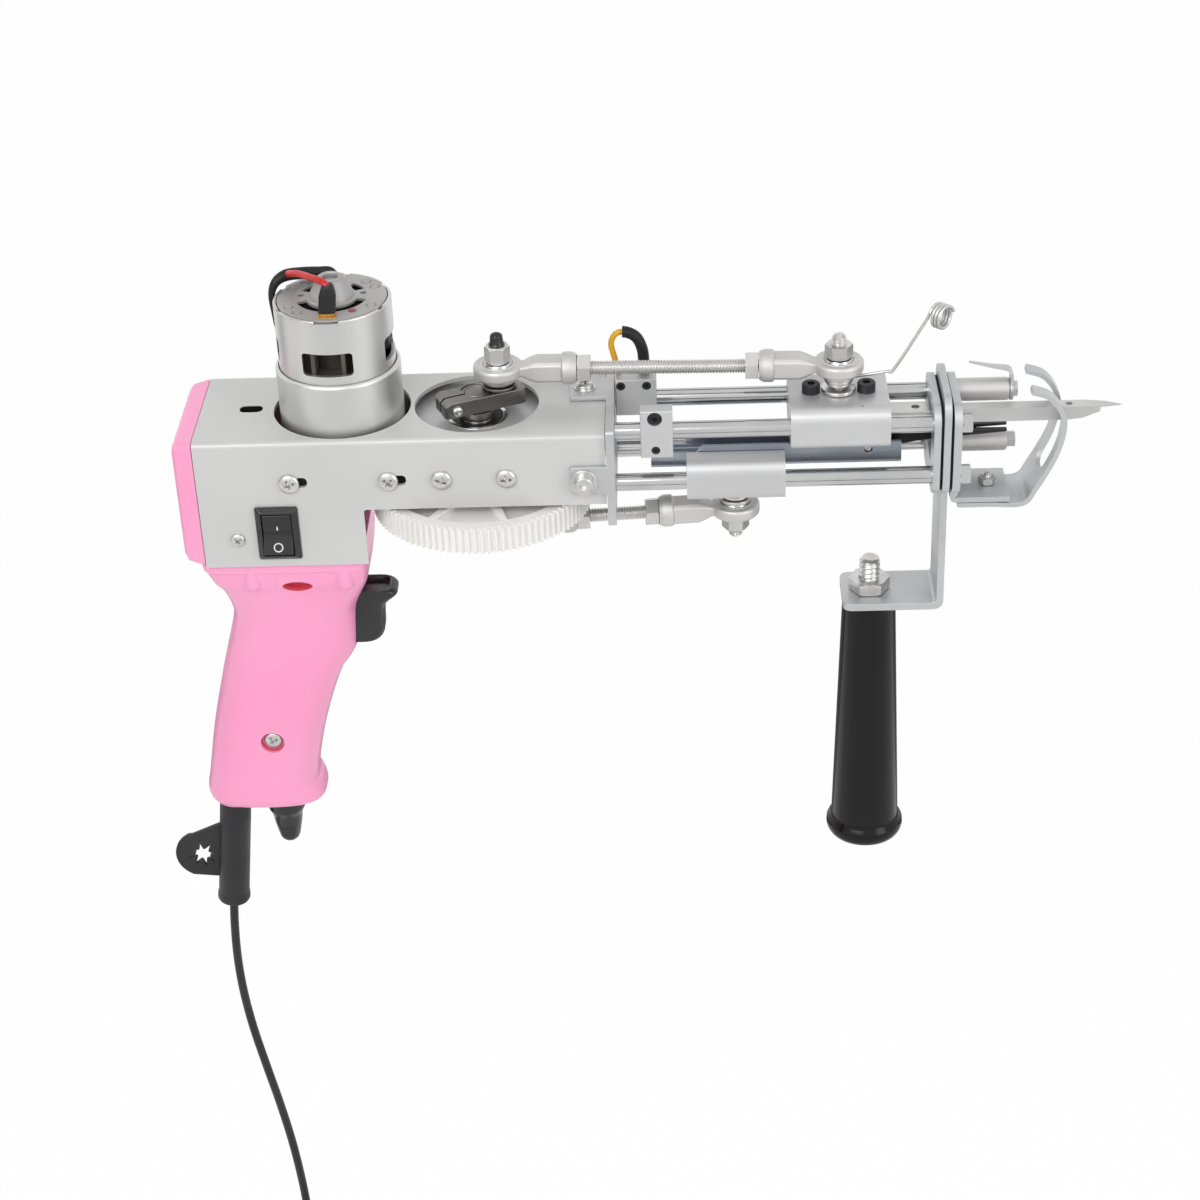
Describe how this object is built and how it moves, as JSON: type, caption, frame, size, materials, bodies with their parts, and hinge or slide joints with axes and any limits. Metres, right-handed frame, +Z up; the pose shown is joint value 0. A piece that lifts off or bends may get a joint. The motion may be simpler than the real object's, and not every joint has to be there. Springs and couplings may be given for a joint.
{
  "type": "handheld tufting machine",
  "caption": "Handheld cut-pile rug tufting machine: geared motor on a sheet housing, crank-driven needle and scissor carriages on guide rods, pistol grip, side handle and lead.",
  "frame": {"origin": "in the pistol grip, on the machine's middle plane, where the palm holds it, 115 mm below the housing's top", "axes": "+X towards the needle's tip, +Y to the left of someone holding it, +Z up along the motor's shaft"},
  "size_m": [0.3668, 0.1188, 0.4858],
  "materials": {
    "painted_sheet": "light grey powder paint, satin",
    "pink_plastic": "moulded ABS, glossy",
    "black_plastic": "moulded ABS, satin gloss",
    "handle_plastic": "moulded, glossy",
    "motor_zinc": "satin zinc plate",
    "rotor_steel": "dark laminated steel",
    "mount_steel": "zinc plate",
    "nylon": "moulded, slightly translucent",
    "bearing_steel": "ground steel",
    "crank_steel": "black oxide, polished edges",
    "cast_alloy": "bead-blasted",
    "plate_steel": "bright zinc plate",
    "guide_steel": "ground and polished",
    "fastener_steel": "bright zinc plate",
    "rod_end_zinc": "die-cast zinc alloy, matte",
    "threaded_steel": "rolled thread, bright",
    "needle_steel": "polished stainless",
    "blue_zinc": "blue passivated zinc plate",
    "blade_steel": "black oxide, ground edges",
    "red_insulation": "PVC, satin",
    "yellow_insulation": "PVC, satin",
    "black_insulation": "PVC, satin",
    "black_rubber": "soft PVC, matte"
  },
  "bodies": {
    "frame": {"housing": "painted_sheet", "rear_cap": "pink_plastic", "rocker_bezel": "black_plastic", "grip_shell_left": "pink_plastic", "grip_shell_right": "pink_plastic", "motor_can": "motor_zinc", "motor_flux_ring": "motor_zinc", "motor_end_cap": "motor_zinc", "motor_mount": "mount_steel", "black_wire": "black_insulation", "red_wire": "red_insulation", "gear_carrier": "cast_alloy", "bearing_upper": "bearing_steel", "bearing_lower": "bearing_steel", "front_plate": "plate_steel", "guide_rod_1": "guide_steel", "guide_rod_2": "guide_steel", "guide_rod_3": "guide_steel", "guide_rod_4": "guide_steel", "clamp_block_far": "cast_alloy", "clamp_block_near": "cast_alloy", "end_plate_rear": "plate_steel", "handle_bracket": "plate_steel", "end_plate_front": "plate_steel", "rod_spacer_upper": "fastener_steel", "rod_spacer_lower": "fastener_steel", "yarn_hook": "fastener_steel", "foot_bolt": "fastener_steel", "side_handle": "handle_plastic", "handle_bolt": "fastener_steel", "signal_wire": "yellow_insulation", "strain_relief": "black_rubber", "cord": "black_insulation", "coil": "black_insulation", "connector": "black_rubber"},
    "gear": {"drive_gear": "nylon", "crank_shaft": "bearing_steel", "crank_arm": "crank_steel"},
    "rotor": {"motor_rotor": "rotor_steel"},
    "needle_carriage": {"needle_slide": "cast_alloy", "needle_slide_stud": "fastener_steel", "needle": "needle_steel", "thread_guide": "blue_zinc"},
    "needle_rod": {"needle_rod_end_slide": "rod_end_zinc", "needle_rod_thread": "threaded_steel", "needle_rod_end_crank": "rod_end_zinc", "needle_crank_stud": "fastener_steel"},
    "scissor_carriage": {"scissor_slide": "cast_alloy", "scissor_slide_stud": "fastener_steel", "scissor_channel": "blue_zinc", "scissor_blade_fixed": "blade_steel"},
    "scissor_rod": {"scissor_rod_end_slide": "rod_end_zinc", "scissor_rod_thread": "threaded_steel", "scissor_rod_end_crank": "rod_end_zinc", "scissor_crank_stud": "fastener_steel"},
    "moving_blade": {"scissor_blade_moving": "blade_steel"},
    "trigger": {"trigger": "black_plastic"},
    "power_rocker": {"rocker": "black_plastic"},
    "speed_knob": {"speed_knob": "black_plastic"},
    "presser_foot": {"presser_foot": "needle_steel"}
  },
  "joints": [
    {"name": "gear_spin", "type": "hinge", "parent": "frame", "child": "gear", "pos_m": [0.084, 0, 0.115], "axis": [0, 0, 1], "continuous": true},
    {"name": "rotor_spin", "type": "hinge", "parent": "frame", "child": "rotor", "pos_m": [0.0352, 0, 0.115], "axis": [0, 0, 1], "continuous": true},
    {"name": "needle_stroke", "type": "slide", "parent": "frame", "child": "needle_carriage", "axis": [1, 0, 0], "range_m": [-0.01717, 0.00083]},
    {"name": "needle_rod_swing", "type": "hinge", "parent": "needle_carriage", "child": "needle_rod", "pos_m": [0.21462, 0, 0.1268], "axis": [0, 0, 1], "range_deg": [-2.5, 5.93]},
    {"name": "scissor_stroke", "type": "slide", "parent": "frame", "child": "scissor_carriage", "axis": [1, 0, 0], "range_m": [-0.01464, 0.00336]},
    {"name": "scissor_rod_swing", "type": "hinge", "parent": "scissor_carriage", "child": "scissor_rod", "pos_m": [0.17714, 0, 0.0696], "axis": [0, 0, 1], "range_deg": [-10.36, 1.45]},
    {"name": "blade_shut", "type": "hinge", "parent": "scissor_carriage", "child": "moving_blade", "pos_m": [0.22524, 0.00445, 0.0958], "axis": [0, 1, 0], "range_deg": [-4.2, 0.97]},
    {"name": "trigger_pull", "type": "slide", "parent": "frame", "child": "trigger", "axis": [1, 0, 0], "range_m": [-0.006, 0], "stiffness_N_per_m": 500, "springref_m": 0.004},
    {"name": "rocker_tilt", "type": "hinge", "parent": "frame", "child": "power_rocker", "pos_m": [0.0114, -0.02655, 0.0784], "axis": [1, 0, 0], "range_deg": [0, 18]},
    {"name": "speed_turn", "type": "hinge", "parent": "frame", "child": "speed_knob", "pos_m": [-0.0025, 0, -0.062], "axis": [0, 0, 1], "range_deg": [0, 270]},
    {"name": "foot_reach", "type": "slide", "parent": "frame", "child": "presser_foot", "axis": [1, 0, 0], "range_m": [-0.002, 0.008]}
  ],
  "couplings": [
    {"joint": "rotor_spin", "follows": "gear_spin", "ratio": -4.3043},
    {"joint": "blade_shut", "follows": "scissor_stroke", "rad_per_m": 5}
  ]
}
